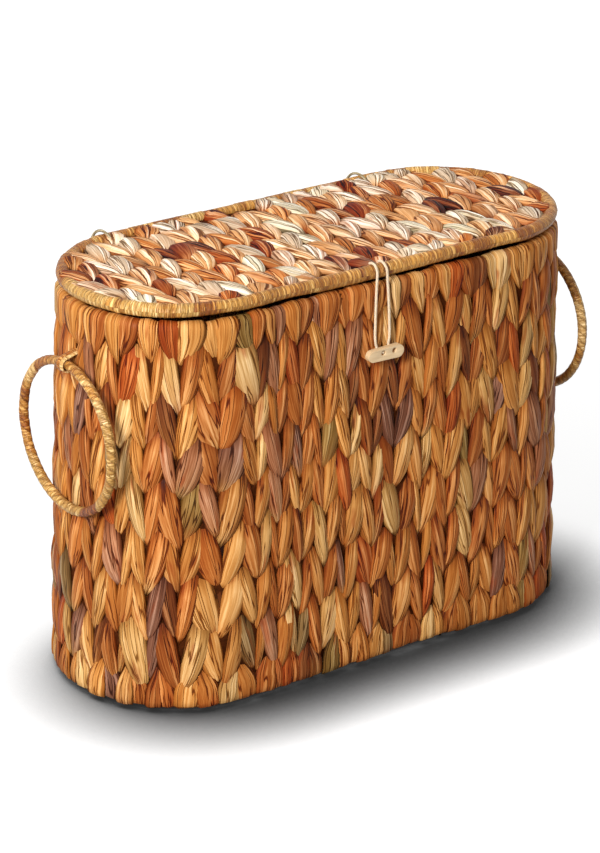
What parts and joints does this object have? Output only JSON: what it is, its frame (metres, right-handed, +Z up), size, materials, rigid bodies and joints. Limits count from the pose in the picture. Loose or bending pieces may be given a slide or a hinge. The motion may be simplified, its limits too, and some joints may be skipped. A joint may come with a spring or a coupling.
{
  "type": "toilet paper storage basket",
  "caption": "Tall stadium-shaped woven storage basket with a hinged woven lid, a toggle on a cord and a ring handle at each end.",
  "frame": {"origin": "centre of the woven base's underside, on the surface that the basket stands on", "axes": "+X along the length, -Y the front with the toggle, +Y the hinge side, +Z up"},
  "size_m": [0.4386, 0.1981, 0.312],
  "materials": {
    "wall_weave": "dry water hyacinth strands, satin",
    "lid_weave": "pale dry water hyacinth strands, satin",
    "rim_strip": "tightly wound dry strip, semi-gloss",
    "handle_strip": "tightly wound dry strip, satin",
    "steel_wire": "dark drawn wire",
    "hinge_cord": "twisted grass cord, matt",
    "cream_cord": "twisted cotton cord, matt",
    "bone": "polished bone or pale wood, satin"
  },
  "bodies": {
    "basket": {"woven_wall": "wall_weave", "base_panel": "wall_weave", "top_rim_wire": "steel_wire", "row_wire_1": "steel_wire", "row_wire_2": "steel_wire", "row_wire_3": "steel_wire", "row_wire_4": "steel_wire", "row_wire_5": "steel_wire", "row_wire_6": "steel_wire", "row_wire_7": "steel_wire", "bottom_rim_wire": "steel_wire", "post_1": "steel_wire", "post_2": "steel_wire", "post_3": "steel_wire", "post_4": "steel_wire", "post_5": "steel_wire", "post_6": "steel_wire", "post_7": "steel_wire", "post_8": "steel_wire", "base_rod_1": "steel_wire", "base_rod_2": "steel_wire", "base_rod_3": "steel_wire", "hinge_tie_left": "hinge_cord", "hinge_tie_right": "hinge_cord", "handle_tie_left": "handle_strip", "handle_tie_right": "handle_strip"},
    "lid": {"lid_panel": "lid_weave", "lid_rim_binding": "rim_strip", "lid_rim_wire": "steel_wire", "lid_rod_1": "steel_wire", "lid_rod_2": "steel_wire", "lid_rod_3": "steel_wire", "lid_rod_4": "steel_wire", "lid_rod_5": "steel_wire"},
    "toggle": {"toggle": "bone", "toggle_stitch": "cream_cord", "closure_cord_left": "cream_cord", "closure_cord_right": "cream_cord"},
    "left_handle": {"handle_ring_left": "handle_strip"},
    "right_handle": {"handle_ring_right": "handle_strip"}
  },
  "joints": [
    {"name": "lid_hinge", "type": "hinge", "parent": "basket", "child": "lid", "pos_m": [0, 0.082, 0.2935], "axis": [-1, 0, 0], "range_deg": [0, 105]},
    {"name": "toggle_swing", "type": "hinge", "parent": "lid", "child": "toggle", "pos_m": [0, -0.081, 0.3043], "axis": [-1, 0, 0], "range_deg": [0, 90]},
    {"name": "left_handle_swing", "type": "hinge", "parent": "basket", "child": "left_handle", "pos_m": [-0.21343, 0, 0.2543], "axis": [0, 1, 0], "range_deg": [0, 170]},
    {"name": "right_handle_swing", "type": "hinge", "parent": "basket", "child": "right_handle", "pos_m": [0.21343, 0, 0.2543], "axis": [0, -1, 0], "range_deg": [0, 170]}
  ]
}
